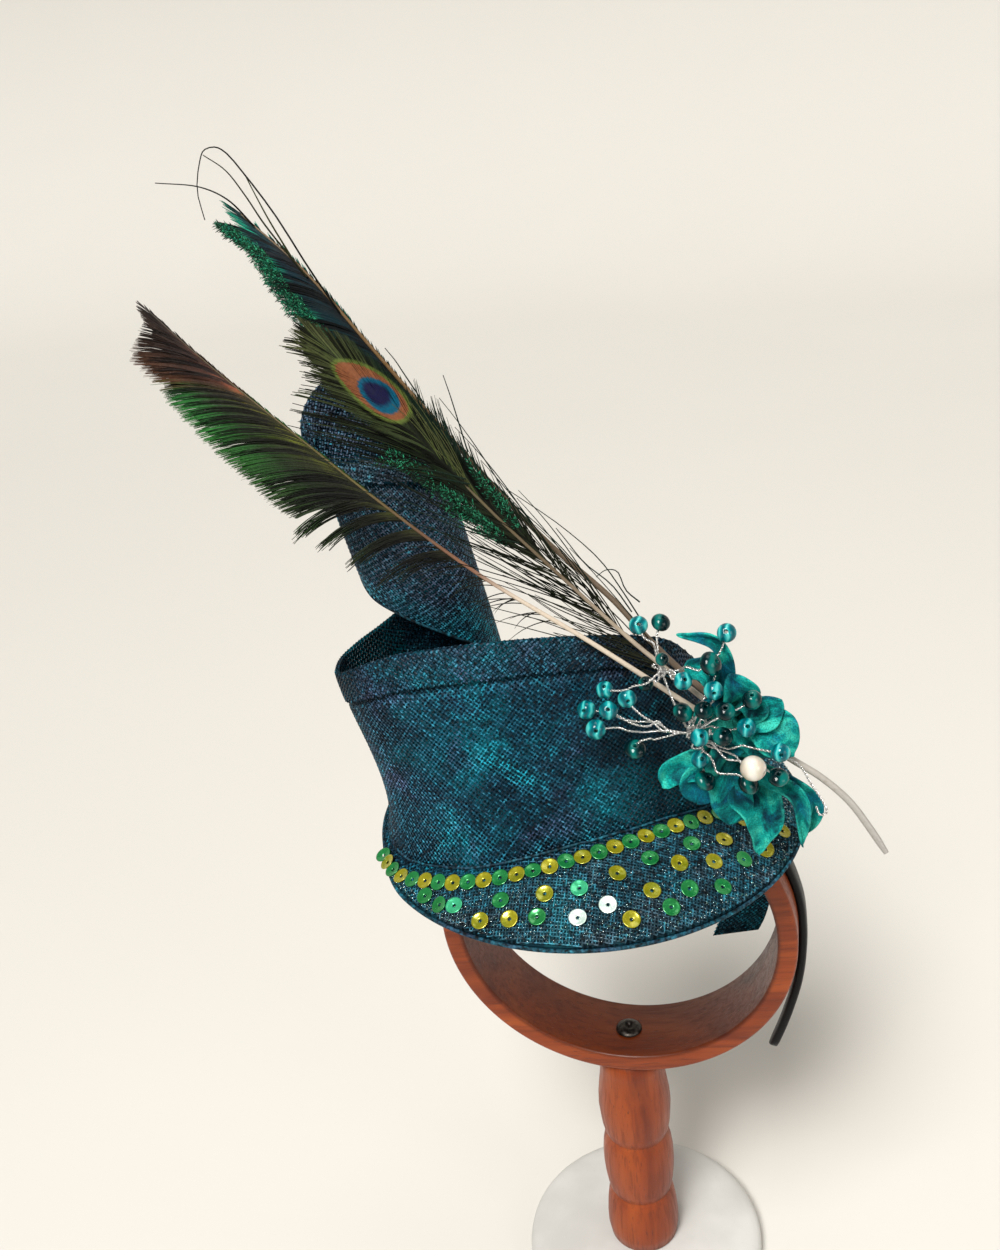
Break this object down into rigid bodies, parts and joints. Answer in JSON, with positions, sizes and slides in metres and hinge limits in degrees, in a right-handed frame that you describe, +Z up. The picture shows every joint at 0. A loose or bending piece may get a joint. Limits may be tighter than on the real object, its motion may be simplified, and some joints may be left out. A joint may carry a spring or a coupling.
{
  "type": "fascinator on a wooden hat stand",
  "caption": "Sinamay fascinator with a wrapped swathe and curl, peacock feathers, velvet petals, bead sprays and sequins, on a satin headband over a turned wooden ring stand.",
  "frame": {"origin": "centre of the underside of the stand foot", "axes": "+Z up, -Y to the front that the picture shows, +X to the right as seen from the front"},
  "size_m": [0.2789, 0.1875, 0.5464],
  "materials": {
    "stand_foot": "pale satin paint",
    "stand_wood": "stained and waxed",
    "screw_metal": "dark",
    "satin": "satin",
    "sinamay": "stiffened open weave",
    "sequin_net": "net with glossy sequins",
    "sword_barbs": "feather",
    "eye_barbs": "feather",
    "green_barbs": "feather",
    "velvet": "velvet",
    "silver_wire": "bright",
    "shell": "polished",
    "bead_glass": "polished",
    "pearl": "pearl lustre"
  },
  "bodies": {
    "root": {"stand_base": "stand_foot", "stand_post": "stand_wood", "stand_ring": "stand_wood", "stand_screw": "screw_metal", "headband": "satin", "base_cap": "sinamay", "sequin_band": "sequin_net", "swathe": "sinamay", "tail": "sinamay", "sword_feather": "sword_barbs", "eye_feather": "eye_barbs", "green_feather": "green_barbs", "flower_upper": "velvet", "flower_lower": "velvet", "bead_wires": "silver_wire", "pearl": "pearl", "shell_bead_1": "shell", "shell_bead_2": "shell", "shell_bead_3": "shell", "shell_bead_4": "shell", "shell_bead_5": "shell", "shell_bead_6": "shell", "shell_bead_7": "shell", "shell_bead_8": "shell", "shell_bead_9": "shell", "shell_bead_10": "shell", "shell_bead_11": "shell", "shell_bead_12": "shell", "shell_bead_13": "shell", "glass_bead_1": "bead_glass", "glass_bead_2": "bead_glass", "glass_bead_3": "bead_glass", "glass_bead_4": "bead_glass", "glass_bead_5": "bead_glass", "glass_bead_6": "bead_glass", "glass_bead_7": "bead_glass", "glass_bead_8": "bead_glass", "glass_bead_9": "bead_glass", "glass_bead_10": "bead_glass", "glass_bead_11": "bead_glass", "glass_bead_12": "bead_glass", "glass_bead_13": "bead_glass"}
  },
  "joints": []
}
